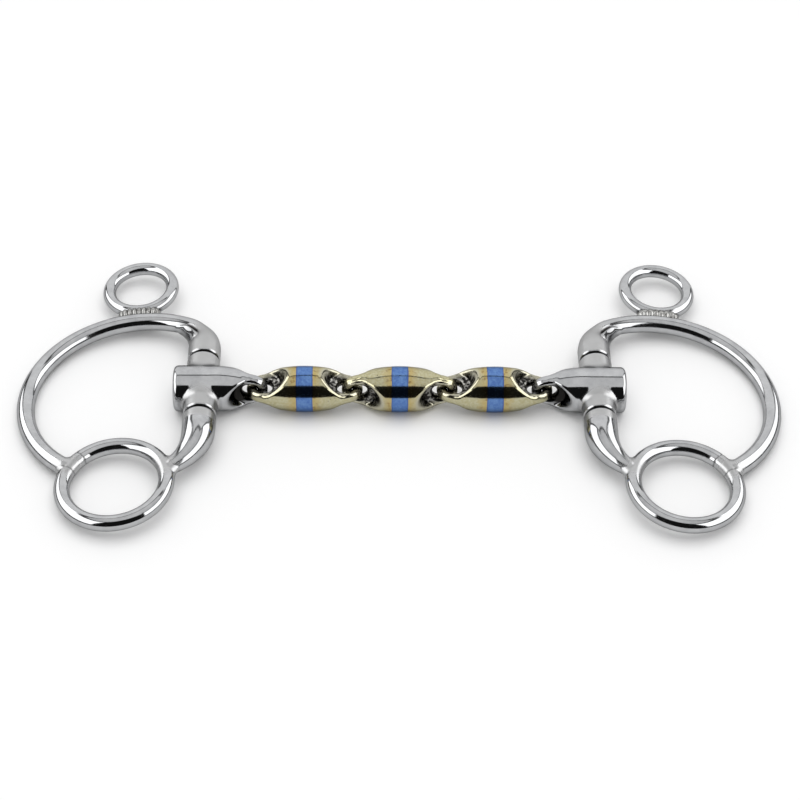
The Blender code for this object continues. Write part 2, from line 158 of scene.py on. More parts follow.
class Graph:
    """A node tree that is written in lines of code."""

    def __init__(self, tree):
        self.tree = tree
        tree.nodes.clear()

    def node(self, kind, inputs=None, out=0, **settings):
        """Add a node, make its settings, fill its sockets and return one of its outputs."""
        made = self.tree.nodes.new(kind)
        for name, value in settings.items():
            setattr(made, name, value)
        for name, value in (inputs or {}).items():
            if isinstance(value, Wire):
                self.tree.links.new(value.socket, made.inputs[name])
            else:
                made.inputs[name].default_value = value
        return Wire(self, made.outputs[out]) if made.outputs else made

    def mix(self, share, first, second):
        """Mix two colours by a share from 0 to 1."""
        inputs = {0: share}
        for key, colour in ((6, first), (7, second)):
            inputs[key] = colour if isinstance(colour, Wire) else (*colour, 1.0)
        return self.node("ShaderNodeMix", inputs, out=2, data_type="RGBA")

    def vector(self, x=0.0, y=0.0, z=0.0):
        """Combine three values into a vector."""
        return self.node("ShaderNodeCombineXYZ", {"X": x, "Y": y, "Z": z})

    def split(self, vector):
        """Take a vector apart into its three values."""
        return [self.node("ShaderNodeSeparateXYZ", {0: vector}, out=axis) for axis in "XYZ"]


print("Wire adds Math nodes, Graph.node adds the rest")

# %% [markdown]
# ## The studio
# Polished steel has hardly a colour of its own: it shows what stands round it. So the studio comes first.
# A white tent stands over the bit, dark and open at the front where the camera looks in. It has a bright
# soft box on dark feet at each side, a grey roof that comes down over the boxes, and a thin dark seam under
# the roof. Those give the black streak, the white streaks and the thin lines on every round bar. The tent
# is a dome that only reflections see, nearly as far away as the camera, so that its reflections also shift
# from one cheek to the other.

# %% Tent
TENT_RADIUS = 700 * MM
TENT_SIDES = 64
BACK_LIGHT = 1.2
ROOF_LIGHT = 1.05
ROOF_FALL = 0.3  # how much the roof dims towards the sides
FRONT_LIGHT = 0.012
BOX_LIGHT = 2.7
SEAM_LIGHT = 0.12
EDGE_SOFT = radians(1.5)
FRONT_LEAN = radians(60)
FRONT_SWING = radians(41)
BOX_SWING = (radians(42), radians(133))
BOX_RISE = (radians(10), radians(51))  # the boxes stand on dark feet
BACK_SWING = radians(137)
WALL_RISE = (radians(-2), radians(62))
ROOF_RISE = radians(66)
EAVES_RISE = radians(55)  # over the boxes the roof comes down to here


def tent_material():
    """Light each part of the tent by its direction from the middle."""
    material = bpy.data.materials.new("light_tent")
    material.use_nodes = True
    graph = Graph(material.node_tree)
    spot = graph.node("ShaderNodeTexCoord", out="Object")
    direction = graph.node("ShaderNodeVectorMath", {0: spot}, operation="NORMALIZE")
    across, along, up = graph.split(direction)
    swing = abs(across.maths("ARCTAN2", 0 - along))
    lean = up.maths("ARCTAN2", 0 - along)
    rise = up.maths("ARCSINE")
    wall = rise.between(*WALL_RISE, EDGE_SOFT)
    beside = swing.between(*BOX_SWING, EDGE_SOFT)
    box = beside * rise.between(*BOX_RISE, EDGE_SOFT)
    back = wall * swing.rising(BACK_SWING, EDGE_SOFT)
    in_front = ((FRONT_SWING - swing) / EDGE_SOFT).limited()
    roof = rise.rising(ROOF_RISE, EDGE_SOFT)
    porch = in_front * lean.rising(FRONT_LEAN, EDGE_SOFT)
    eaves = beside * rise.rising(EAVES_RISE, EDGE_SOFT)
    roof = roof.maths("MAXIMUM", porch.maths("MAXIMUM", eaves))
    opening = in_front * wall * (1 - roof)
    light = SEAM_LIGHT + (BOX_LIGHT - SEAM_LIGHT) * box + (BACK_LIGHT - SEAM_LIGHT) * back
    light = light + (FRONT_LIGHT - light) * opening
    light = light + (ROOF_LIGHT * (1 - ROOF_FALL * abs(across)) - light) * roof
    shader = graph.node("ShaderNodeEmission", {"Strength": light})
    graph.node("ShaderNodeOutputMaterial", {"Surface": shader})
    return material


bpy.ops.mesh.primitive_uv_sphere_add(radius=TENT_RADIUS, segments=TENT_SIDES, ring_count=TENT_SIDES // 2)
tent = bpy.context.object
tent.name = "light_tent"
tent.data.materials.append(tent_material())
tent.visible_camera = False
tent.visible_diffuse = False
tent.visible_shadow = False
print("tent opens", round(degrees(FRONT_LEAN)), "degrees up and", round(degrees(FRONT_SWING)), "aside")

# %% [markdown]
# ## The floor and the light
# The photograph is cut out on white. A pale matt floor under an even white world comes close to that, and
# one wide soft lamp overhead adds the soft shadow that shows where the bit lies.

# %% World, lamp and floor
WORLD_LEVEL = 0.86
FLOOR_COLOUR = (0.94, 0.94, 0.94, 1.0)
FLOOR_SIZE = 12.0
FLOOR_DROP = 0.05 * MM
LAMP_SIZE = 1.6
LAMP_HEIGHT = 1.4
LAMP_POWER = 11.0

# The world is white for the camera and has a plain level for everything else.
world = bpy.data.worlds.new("white_world")
world.use_nodes = True
scene.world = world
graph = Graph(world.node_tree)
seen = graph.node("ShaderNodeLightPath", out="Is Camera Ray")
light = graph.node("ShaderNodeBackground", {"Strength": WORLD_LEVEL + (1 - WORLD_LEVEL) * seen})
graph.node("ShaderNodeOutputWorld", {"Surface": light})

bpy.ops.mesh.primitive_plane_add(size=FLOOR_SIZE, location=(0, 0, -FLOOR_DROP))
floor = bpy.context.object
floor.name = "pale_floor"
material = bpy.data.materials.new("pale_floor")
material.use_nodes = True
shader = material.node_tree.nodes["Principled BSDF"]
shader.inputs["Base Color"].default_value = FLOOR_COLOUR
shader.inputs["Roughness"].default_value = 1.0
shader.inputs["Specular IOR Level"].default_value = 0.0
floor.data.materials.append(material)

# Reflections don't see the lamp.
data = bpy.data.lights.new("soft_lamp", "AREA")
data.size = LAMP_SIZE
data.energy = LAMP_POWER
lamp = bpy.data.objects.new("soft_lamp", data)
lamp.location = (0, 0, LAMP_HEIGHT)
lamp.visible_glossy = False
scene.collection.objects.link(lamp)
print("world level", WORLD_LEVEL, "and one lamp of", LAMP_POWER, "watts")

# %% [markdown]
# ## Forged shapes as distance fields
# Forgings and welds have no hard corners: a boss runs into a barrel, and a bow into a ring, through a small
# fillet. A distance field handles that well: each form is a formula that is negative inside the metal, and
# two of them are fused or carved with a soft edge of a known width. One function then wraps the zero
# surface in quads, moves each point onto it, and takes its normal from the formula, so that reflections run
# clean.

# %% Fields and how to wrap them
FIELD_STEP = 0.01 * MM
SLABS = 24
SETTLE_ROUNDS = 3
LEAST_SLOPE = 0.05
SHADE = "shade"
# How far round a point the painted shade of hollows looks, the level where it starts, and the range over
# which it grows.
HOLLOW_REACH = 2.5 * MM
HOLLOW_START = 0.22
HOLLOW_RANGE = 0.4


def held(values):
    """Hold numbers between 0 and 1."""
    return np.clip(values, 0, 1)


def fuse(first, second, width):
    """Join two fields, with a fillet of the given width where they meet."""
    near = np.maximum(width - np.abs(first - second), 0) / width
    return np.minimum(first, second) - near * near * width / 4


def carve(solid, tool, width):
    """Cut a tool out of a solid, with a rounded edge of the given width."""
    return -fuse(-solid, tool, width)


def overlap(first, second, width):
    """Keep what two fields share, with a rounded edge."""
    return -fuse(-first, -second, width)


def slope(field, points):
    """Measure a field's gradient at each point."""
    result = np.empty_like(points)
    for axis, shift in enumerate(FIELD_STEP * np.eye(3)):
        result[:, axis] = (field(points + shift) - field(points - shift)) / (2 * FIELD_STEP)
    return result


def onto_surface(field, points, limit):
    """Move points along the gradient to where the field is zero, by no more than a limit."""
    gradient = slope(field, points)
    steep = np.maximum((gradient**2).sum(axis=1), LEAST_SLOPE)
    move = gradient * (field(points) / steep)[:, None]
    length = np.linalg.norm(move, axis=1)
    return points - move * np.minimum(1, limit / np.maximum(length, limit / 100))[:, None]


def even_out(points, quads):
    """Move each point to the middle of its neighbours."""
    starts = quads.ravel()
    ends = np.roll(quads, -1, axis=1).ravel()
    count = np.bincount(starts, minlength=len(points)) + np.bincount(ends, minlength=len(points))
    total = np.empty_like(points)
    for axis in range(3):
        total[:, axis] = np.bincount(starts, points[ends, axis], len(points))
        total[:, axis] += np.bincount(ends, points[starts, axis], len(points))
    return total / count[:, None]


def wrap(field, low, high, step):
    """Wrap the region where a field is negative: return points, quads, normals and marks."""
    low = np.array(low)
    counts = np.ceil((np.array(high) - low) / step).astype(int) + 1
    axes = [low[axis] + step * np.arange(counts[axis]) for axis in range(3)]
    parts = np.array_split(axes[0], SLABS)
    slabs = [np.stack(np.meshgrid(part, *axes[1:], indexing="ij"), -1) for part in parts]
    inside = np.concatenate([field(slab) < 0 for slab in slabs])
    cells = np.zeros(counts - 1, np.int8)
    for i, j, k in product((0, 1), repeat=3):
        cells += inside[i : i + cells.shape[0], j : j + cells.shape[1], k : k + cells.shape[2]]
    crossed = (cells > 0) & (cells < 8)
    number = np.full(crossed.shape, -1)
    number[crossed] = np.arange(crossed.sum())
    points = low + step * (np.argwhere(crossed) + 0.5)
    quads = np.concatenate([quads_across(inside, number, axis) for axis in range(3)])
    for _ in range(SETTLE_ROUNDS):
        points = onto_surface(field, points, step)
        points = even_out(points, quads)
    for _ in range(SETTLE_ROUNDS):
        points = onto_surface(field, points, step)
    print("  furthest point off its surface:", round(np.abs(field(points)).max() / MM, 4), "mm")
    normals = slope(field, points)
    normals /= np.linalg.norm(normals, axis=1)[:, None]
    # Painted shade like ambient occlusion: a point darkens as the surface comes round it nearer than a flat
    # face would.
    hollow = 1 - field(points + HOLLOW_REACH * normals) / HOLLOW_REACH
    return points, quads, normals, {SHADE: held((hollow - HOLLOW_START) / HOLLOW_RANGE)}


def quads_across(inside, number, axis):
    """Make one quad for each grid edge along an axis that runs through the surface."""
    here = np.moveaxis(inside, axis, 0)
    starts = np.argwhere(here[:-1] != here[1:])
    leaving = here[tuple(starts.T)]
    cells = np.moveaxis(number, axis, 0)
    around = ((0, 0), (1, 0), (1, 1), (0, 1)) if axis != 1 else ((0, 0), (0, 1), (1, 1), (1, 0))
    corners = [cells[tuple((starts - (0, *back)).T)] for back in around]
    quads = np.stack(corners, axis=1)
    quads[~leaving] = quads[~leaving][:, ::-1]
    return quads


def metal_object(name, shape, material):
    """Turn wrapped points, quads and normals into a smooth mesh object, whose marks a material can read."""
    points, quads, normals, marks = shape
    mesh = bpy.data.meshes.new(name)
    mesh.from_pydata(points, [], quads.tolist())
    mesh.shade_smooth()
    mesh.normals_split_custom_set_from_vertices(normals)
    for mark_name, values in marks.items():
        attribute = mesh.attributes.new(mark_name, "FLOAT", "POINT")
        attribute.data.foreach_set("value", values.astype(np.float32))
    mesh.materials.append(material)
    item = bpy.data.objects.new(name, mesh)
    scene.collection.objects.link(item)
    return item


def mirrored(shape):
    """Mirror a wrapped shape from right to left."""
    points, quads, normals, marks = shape
    flip = np.array((-1, 1, 1))
    return points * flip, quads[:, ::-1], normals * flip, marks


print("surface points settle in", 2 * SETTLE_ROUNDS, "rounds")

# %% [markdown]
# ## Steel
# Stainless steel reflects about half of the light. The polish isn't perfect: slow clouds of roughness and a
# faint grain keep it from looking like chrome on a computer. Round the hinges the wheel doesn't reach, so
# the bosses, the elbows and the collars stay satin: a mark on each mesh says where. Hollows and gaps get
# painted shade.
# The weld is duller, with a coarser grain and some heat stain.

# %% Steel finishes
STEEL_LIGHT = (0.458, 0.463, 0.470)
STEEL_DULL = (0.368, 0.373, 0.382)
STEEL_SATIN = (0.42, 0.42, 0.418)
WELD_LIGHT = (0.38, 0.38, 0.37)
WELD_STAIN = (0.14, 0.135, 0.13)
# The colour of painted shade, in hollows and in the gaps of the joints.
PAINTED_SHADE_DARK = (0.018, 0.017, 0.016)
EDGE_TINT = (0.5, 0.5, 0.5, 1.0)  # a film of oil and fine scratches dims the grazing reflections
SATIN = "satin"
SATIN_ROUGHNESS = 0.27
CLOUD_SIZE = 4 * MM
PATCH_SIZE = 15 * MM
GRAIN_SIZE = 0.3 * MM
GRAIN_DEPTH = 0.006 * MM
STAIN_SIZE = 1.2 * MM
WELD_DEPTH = 0.03 * MM


def start_metal(name):
    """Add a metal material and return it with its graph and Object coordinates."""
    material = bpy.data.materials.new(name)
    material.use_nodes = True
    graph = Graph(material.node_tree)
    return material, graph, graph.node("ShaderNodeTexCoord", out="Object")


def noise(graph, place, size, detail=3.0):
    """Add a noise whose lumps are about a given size in metres, from 0 to 1."""
    return graph.node("ShaderNodeTexNoise", {"Vector": place, "Scale": 1 / size, "Detail": detail})


def mark(graph, name):
    """Read the number that a mesh stores for each point under a name."""
    return graph.node("ShaderNodeAttribute", out="Fac", attribute_name=name)


def paint_shade(graph, colour, dark=PAINTED_SHADE_DARK):
    """Paint shade into the colour, as much as the mesh's shade mark says."""
    return graph.mix(mark(graph, SHADE), colour, dark)


def finish_metal(graph, colour, roughness, height, depth):
    """End a metal's graph in a Principled shader with a bump of the given depth in metres."""
    normal = graph.node("ShaderNodeBump", {"Strength": 1.0, "Distance": depth, "Height": height})
    sockets = {"Base Color": colour, "Roughness": roughness, "Metallic": 1.0, "Normal": normal}
    sockets["Specular Tint"] = EDGE_TINT
    shader = graph.node("ShaderNodeBsdfPrincipled", sockets)
    graph.node("ShaderNodeOutputMaterial", {"Surface": shader})


def polished_steel():
    """Polished stainless steel with faint cloudiness and grain, and satin where its mesh is marked so."""
    material, graph, place = start_metal("polished_steel")
    cloud = noise(graph, place, CLOUD_SIZE)
    patch = noise(graph, place, PATCH_SIZE).rising(0.52, 0.12)
    grain = noise(graph, place, GRAIN_SIZE, 2.0)
    satin = mark(graph, SATIN)
    colour = graph.mix(cloud.rising(0.35, 0.4), STEEL_LIGHT, STEEL_DULL)
    colour = graph.mix(satin * (0.5 + 0.5 * grain), colour, STEEL_SATIN)
    roughness = 0.05 + 0.06 * cloud + 0.06 * patch + SATIN_ROUGHNESS * satin
    height = grain * (0.3 + 4 * satin)
    finish_metal(graph, paint_shade(graph, colour), roughness, height, GRAIN_DEPTH)
    return material


def weld_steel():
    """Weld metal: the same steel, duller, with a coarse grain and some stain."""
    material, graph, place = start_metal("weld_steel")
    stain = noise(graph, place, STAIN_SIZE)
    grain = noise(graph, place, GRAIN_SIZE)
    colour = graph.mix(stain.rising(0.45, 0.2), WELD_LIGHT, WELD_STAIN)
    finish_metal(graph, colour, 0.2 + 0.16 * stain, grain, WELD_DEPTH)
    return material


STEEL = polished_steel()
WELD = weld_steel()
print("steel finishes:", STEEL.name, "and", WELD.name)

# %% [markdown]
# ## Heat-tinted links
# The links are a warm straw metal: tan, with brown and golden patches that gather next to the band, and a
# few tiny pits near the ends. The rims of the scoops are ground paler. The band is blue, a little uneven,
# and darker and more purple at its two edges. Both finishes follow the link and not the world, so each mesh
# carries its own distance from the link's middle, or from the band's middle, as an attribute.

# %% Link and band finishes
STRAW = (0.40, 0.37, 0.22)
STRAW_PALE = (0.48, 0.462, 0.322)
STRAW_GOLD = (0.43, 0.31, 0.09)
STRAW_BROWN = (0.20, 0.11, 0.04)
PIT_DARK = (0.05, 0.04, 0.03)
STRAW_GROUND = (0.47, 0.45, 0.35)  # the scoops' rims and the bars, ground paler than the crown
PAINTED_SHADE_FLECK = (0.24, 0.235, 0.22)  # lighter flecks that break up the painted shade of an eye
BLUE = (0.075, 0.15, 0.38)
BLUE_PALE = (0.13, 0.24, 0.48)
BLUE_EDGE = (0.05, 0.07, 0.20)
FROM_MIDDLE = "from_middle"
GROUND = "ground"
BAND_WIDTH = 5.7 * MM
GOLD_SHARE = 0.62
BROWN_SHARE = 0.75
PIT_SHARE = 0.8
EDGE_SHARE = 0.7
TINT_REACH = 7 * MM
TINT_SIZE = 3 * MM
SPOT_SIZE = 1.6 * MM
SPECK_SIZE = 0.8 * MM
SPECK_DEPTH = 0.012 * MM
FLECK_SIZE = 1.1 * MM
PIT_SIZE = 1.1 * MM
PIT_START = 6 * MM
PIT_GROUPS = 5 * MM
BLUE_CLOUD = 1.6 * MM
BLUE_SPECK = 0.5 * MM
BLUE_DEPTH = 0.01 * MM
BLUE_WAVER = 0.8 * MM


def straw_metal():
    """Warm straw metal with golden and brown tint beside the band and a few pits."""
    material, graph, place = start_metal("straw_metal")
    out = abs(mark(graph, FROM_MIDDLE))
    patch = noise(graph, place, TINT_SIZE)
    spot = noise(graph, place, SPOT_SIZE)
    speck = noise(graph, place, SPECK_SIZE)
    heat = ((TINT_REACH - out) / (TINT_REACH - BAND_WIDTH / 2)).limited()
    gold = (heat * 1.3 + (patch - 0.5) * 1.6 - 0.15).limited()
    brown = heat * spot.rising(0.54, 0.08) * speck.rising(0.3, 0.3)
    colour = graph.mix(speck.rising(0.35, 0.35), STRAW, STRAW_PALE)
    colour = graph.mix(gold * GOLD_SHARE, colour, STRAW_GOLD)
    colour = graph.mix(brown * BROWN_SHARE, colour, STRAW_BROWN)
    cells = {"Vector": place, "Scale": 1 / PIT_SIZE, "Randomness": 1.0}
    pit = ((0.2 - graph.node("ShaderNodeTexVoronoi", cells, out="Distance")) / 0.06).limited()
    pit = pit * noise(graph, place, PIT_GROUPS).rising(0.55, 0.05) * out.rising(PIT_START, MM)
    colour = graph.mix(pit * PIT_SHARE, colour, PIT_DARK)
    colour = graph.mix(mark(graph, GROUND), colour, STRAW_GROUND)
    # The painted shade of the eyes, broken by lighter flecks.
    fleck = noise(graph, place, FLECK_SIZE).rising(0.47, 0.12)
    colour = paint_shade(graph, colour, graph.mix(fleck, PAINTED_SHADE_DARK, PAINTED_SHADE_FLECK))
    roughness = 0.07 + 0.10 * speck + 0.15 * mark(graph, SHADE)
    finish_metal(graph, colour, roughness, speck - pit, SPECK_DEPTH)
    return material


def blued_metal():
    """Blue-tempered metal that goes purple and dark at the band's edges."""
    material, graph, place = start_metal("blued_metal")
    out = abs(mark(graph, FROM_MIDDLE))
    cloud = noise(graph, place, BLUE_CLOUD)
    speck = noise(graph, place, BLUE_SPECK)
    edge = (out + (cloud - 0.5) * BLUE_WAVER).rising(0.40 * BAND_WIDTH, 0.10 * BAND_WIDTH)
    colour = graph.mix((cloud * 0.6 + speck * 0.4).rising(0.38, 0.24), BLUE, BLUE_PALE)
    colour = graph.mix(edge * EDGE_SHARE, colour, BLUE_EDGE)
    finish_metal(graph, colour, 0.08 + 0.10 * speck, speck, BLUE_DEPTH)
    return material


STRAW_METAL = straw_metal()
BLUED_METAL = blued_metal()
print("link finishes:", STRAW_METAL.name, "and", BLUED_METAL.name)

# %% [markdown]
# ## One link
# A link is turned to a long crown with a round nose at each end. Both ends are then scooped from two sides
# down to a round bar, which closes the eye. In the field, the scoop is a cone round the eye that opens
# towards the tip, and the bar is a ring that is fused back in.

# %% Link field
BAND_PROUD = 0.015 * MM
MOUTH_RADIUS = 8.0 * MM - BAND_PROUD
CROWN_RADIUS = 50.0 * MM
EYE_BAR = 3.7 * MM
EYE_HOLE = 6.0 * MM
SCOOP_REACH = 7.4 * MM
EYE_BACK = 2.3 * MM  # from the eye's centre to the back of its hole
EYE_SNUG = 0.11 * MM  # what each bar has more on its inside, so that two hooked bars nearly touch
SCOOP_SHADE_DEPTHS = (0.6 * MM, 2.6 * MM)  # the depths where a scoop's painted shade starts, and where it is full
SCOOP_FAN = radians(27)  # how far each side of a scoop opens towards the tip
SCOOP_EDGE = 1.8 * MM
EYE_FILLET = 0.8 * MM
GROUND_DEPTH = 0.4 * MM  # how far under the turned form the metal is all ground
LINK_STEP = 0.24 * MM
MARGIN = 1.0 * MM  # of empty room round a wrapped field

link_low, link_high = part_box("centre_link")
LINK_TIP = (link_high.x - link_low.x) / 2
HALF_BAR = EYE_BAR / 2
EYE_RIM = EYE_HOLE / 2 + HALF_BAR
EYE_CENTRE = LINK_TIP - EYE_RIM - HALF_BAR
SCOOP_RAMP = (SCOOP_REACH - EYE_RIM) / (MOUTH_RADIUS - HALF_BAR)


def turned_nose(along, out):
    """Give the distance to a link's turned form: a crown arc that runs into a round nose."""
    drop = CROWN_RADIUS - MOUTH_RADIUS
    nose = (CROWN_RADIUS**2 - LINK_TIP**2 - drop**2) / (2 * (CROWN_RADIUS - LINK_TIP))
    nose_centre = LINK_TIP - nose
    crown = np.hypot(along, out + drop) - CROWN_RADIUS
    end = np.hypot(along - nose_centre, out) - nose
    return np.where(along * drop > (out + drop) * nose_centre, end, crown)


def scoop_eye(body, along, hole, side):
    """Scoop an eye out of a body. Along runs to the tip, hole along the eye's axis."""
    reach = EYE_RIM + SCOOP_RAMP * (np.maximum(np.abs(hole), HALF_BAR) - HALF_BAR)
    side = np.abs(side)
    round_part = np.hypot(along, side)
    fan_part = side * cos(SCOOP_FAN) - along * sin(SCOOP_FAN)
    in_fan = along * cos(SCOOP_FAN) + side * sin(SCOOP_FAN) > 0
    scoop = (np.where(in_fan, fan_part, round_part) - reach) / hypot(1, SCOOP_RAMP)
    bar = np.hypot(round_part - EYE_RIM + EYE_SNUG / 2, hole) - HALF_BAR - EYE_SNUG / 2
    oval = np.hypot(np.minimum(along, 0) * EYE_HOLE / 2 / EYE_BACK, side)
    back = np.hypot(np.maximum(EYE_RIM - oval, 0), hole) - HALF_BAR
    bar = fuse(bar, np.maximum(back, round_part - EYE_RIM), EYE_FILLET)
    return fuse(carve(body, scoop, SCOOP_EDGE), overlap(bar, body, EYE_FILLET), EYE_FILLET)


def eye_shade(body, along, hole, side):
    """Give an eye's painted shade: on the walls of its scoops by their depth, and on the inner half of its
    bar.
    """
    round_part = np.hypot(along, side)
    off_bar = np.hypot(round_part - EYE_RIM, hole) - HALF_BAR
    bright_bar = held(1 - off_bar / EYE_FILLET) * held(along / HALF_BAR)
    wall = held((-body - SCOOP_SHADE_DEPTHS[0]) / (SCOOP_SHADE_DEPTHS[1] - SCOOP_SHADE_DEPTHS[0])) * (1 - bright_bar)
    inner = held((EYE_RIM - round_part) / HALF_BAR - 0.2)
    return np.maximum(wall, inner)


def link_field(points):
    """A link about its own middle, along X, with its eyes open along Z."""
    along, side, hole = np.moveaxis(points, -1, 0)
    body = turned_nose(np.abs(along), np.hypot(side, hole))
    return scoop_eye(body, np.abs(along) - EYE_CENTRE, hole, side)


reach = np.array((LINK_TIP, MOUTH_RADIUS, MOUTH_RADIUS)) + MARGIN
points, quads, normals, marks = wrap(link_field, -reach, reach, LINK_STEP)
along, side, hole = points.T
turned = turned_nose(np.abs(along), np.hypot(side, hole))
# Painted shade in the eyes, on top of the painted shade of the hollows.
marks[SHADE] = np.maximum(marks[SHADE], eye_shade(turned, np.abs(along) - EYE_CENTRE, hole, side))
marks[FROM_MIDDLE] = along
marks[GROUND] = held(-turned / GROUND_DEPTH)
link_pattern = metal_object("link_pattern", (points, quads, normals, marks), STRAW_METAL)
print("link:", len(quads), "quads, eye centre", round(EYE_CENTRE / MM, 2), "mm from the middle")

# %% [markdown]
# ## The chain
# The links repeat, each one a quarter turn on from the last, so Geometry Nodes set them out: a line of
# points, an instance of the pattern on each, and a turn that depends on the index. Each link belongs to
# another moving body, so the tree has an input that chooses which one to keep.

# %% Place the links
BODY_OF_LINK = {"left": "left_side", "centre": "centre", "right": "right_side"}


def new_tree(name, sockets):
    """Start a Geometry Nodes tree with named inputs and return its graph and its inputs as wires."""
    tree = bpy.data.node_groups.new(name, "GeometryNodeTree")
    tree.interface.new_socket("Geometry", in_out="OUTPUT", socket_type="NodeSocketGeometry")
    for socket, kind in sockets.items():
        tree.interface.new_socket(socket, in_out="INPUT", socket_type="NodeSocket" + kind)
    graph = Graph(tree)
    entry = tree.nodes.new("NodeGroupInput")
    return graph, {socket: Wire(graph, entry.outputs[socket]) for socket in sockets}


def end_tree(graph, geometry, material):
    """End a tree: make instances real, give the metal and put the result out."""
    real = graph.node("GeometryNodeRealizeInstances", {0: geometry})
    done = graph.node("GeometryNodeSetMaterial", {"Geometry": real, "Material": material})
    graph.node("NodeGroupOutput", {0: done})
    return graph.tree


def grow(name, tree, values):
    """Run a tree once with the given inputs and keep its result as a plain mesh object."""
    item = bpy.data.objects.new(name, bpy.data.meshes.new(name))
    modifier = item.modifiers.new("grow", "NODES")
    modifier.node_group = tree
    for socket in tree.interface.items_tree:
        if socket.in_out == "INPUT":
            modifier[socket.identifier] = values[socket.name]
    scene.collection.objects.link(item)
    depsgraph = bpy.context.evaluated_depsgraph_get()
    evaluated = item.evaluated_get(depsgraph)
    mesh = bpy.data.meshes.new_from_object(evaluated, preserve_all_data_layers=True, depsgraph=depsgraph)
    item.modifiers.remove(modifier)
    item.data = mesh
    mesh.name = name
    return item


def chain_tree():
    """Set links along a line, each a quarter turn on, and keep the chosen one."""
    sockets = {
        "Pattern": "Object", "Count": "Int", "Start": "Vector", "Pitch": "Vector",
        "Turn": "Float", "Chosen": "Int", "Metal": "Material",
    }
    graph, given = new_tree("link_chain", sockets)
    line_sockets = {"Count": given["Count"], "Start Location": given["Start"], "Offset": given["Pitch"]}
    line = graph.node("GeometryNodeMeshLine", line_sockets)
    index = graph.node("GeometryNodeInputIndex")
    turn = graph.vector(index % 2 * given["Turn"])
    numbers = {2: index, 3: given["Chosen"]}
    chosen = graph.node("FunctionNodeCompare", numbers, data_type="INT", operation="EQUAL")
    pattern = graph.node("GeometryNodeObjectInfo", {"Object": given["Pattern"]}, out="Geometry")
    placed = {"Points": line, "Selection": chosen, "Instance": pattern, "Rotation": turn}
    return end_tree(graph, graph.node("GeometryNodeInstanceOnPoints", placed), given["Metal"])


chain = chain_tree()
for index, (side, body) in enumerate(BODY_OF_LINK.items()):
    values = {
        "Pattern": link_pattern, "Count": len(BODY_OF_LINK), "Start": (-LINK_PITCH, MOUTH.y, MOUTH.z),
        "Pitch": (LINK_PITCH, 0, 0), "Turn": pi / 2, "Chosen": index, "Metal": STRAW_METAL,
    }
    item = grow(f"{side}_link_metal", chain, values)
    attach(item, body)
    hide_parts(f"{side}_link")
    print(item.name, len(item.data.polygons), "faces")
bpy.data.objects.remove(link_pattern)

# %% [markdown]
# ## The blue bands
# Each link wears a band that lies flush in its crown, with slightly wavy edges. A grid is bent round the
# link in Geometry Nodes: one way of the grid runs round the link, and the other runs over the band and back
# beneath it, so that the band is closed. Noise that repeats after one turn moves the edges.

# %% Band
BAND_DEPTH = 0.7 * MM
BAND_WAVER = 0.55 * MM
BAND_WAVES = 1.6  # the scale of the noise that moves the edges
EDGES_APART = 3  # far enough in that noise for two unlike edges
FIRST_SEED = 2.0
UNDER_RAMP = 4  # how steeply the band turns under at its edges
MERGE_REACH = 0.001 * MM
SHARP_ANGLE = radians(30)
BAND_AROUND = 161
BAND_ACROSS = 33


def band_tree():
    """Bend a grid into a closed band that follows a link's crown."""
    sockets = {
        "Place": "Vector", "Crown": "Float", "Girth": "Float", "Width": "Float", "Depth": "Float",
        "Waver": "Float", "Seed": "Float", "Metal": "Material",
    }
    graph, given = new_tree("blue_band", sockets)
    grid_sockets = {"Size X": 1.0, "Size Y": 1.0, "Vertices X": BAND_AROUND, "Vertices Y": BAND_ACROSS}
    grid = graph.node("GeometryNodeMeshGrid", grid_sockets)
    around, across, _ = graph.split(graph.node("GeometryNodeInputPosition"))
    turn = around * (2 * pi)
    loop = across + 0.5
    cosine = turn.maths("COSINE")
    sine = turn.maths("SINE")
    share = 1 - abs(loop * 4 - 2)
    under = (0 - (loop * (2 * pi)).maths("SINE") * UNDER_RAMP).limited()
    edge_side = share.maths("SIGN")
    ring = graph.vector(cosine, sine, edge_side * EDGES_APART)
    wave_sockets = {"Vector": ring, "W": given["Seed"], "Scale": BAND_WAVES, "Detail": 2.0}
    wave = graph.node("ShaderNodeTexNoise", wave_sockets, noise_dimensions="4D")
    along = share * (given["Width"] / 2 + (wave - 0.5) * given["Waver"] * abs(share))
    out = (given["Crown"] ** 2 - along**2) ** 0.5 - given["Crown"] + given["Girth"] - given["Depth"] * under
    place = graph.vector(along, out * cosine, out * sine)
    place = graph.node("ShaderNodeVectorMath", {0: place, 1: given["Place"]}, operation="ADD")
    marks = {"Geometry": grid, "Name": FROM_MIDDLE, "Value": along}
    band = graph.node("GeometryNodeStoreNamedAttribute", marks, data_type="FLOAT", domain="POINT")
    band = graph.node("GeometryNodeSetPosition", {"Geometry": band, "Position": place})
    band = graph.node("GeometryNodeMergeByDistance", {"Geometry": band, "Distance": MERGE_REACH})
    angle = graph.node("GeometryNodeInputMeshEdgeAngle", out="Unsigned Angle")
    gentle = graph.node("FunctionNodeCompare", {0: angle, 1: SHARP_ANGLE}, operation="LESS_THAN")
    smooth = {"Geometry": band, "Shade Smooth": gentle}
    band = graph.node("GeometryNodeSetShadeSmooth", smooth, domain="EDGE")
    return end_tree(graph, band, given["Metal"])


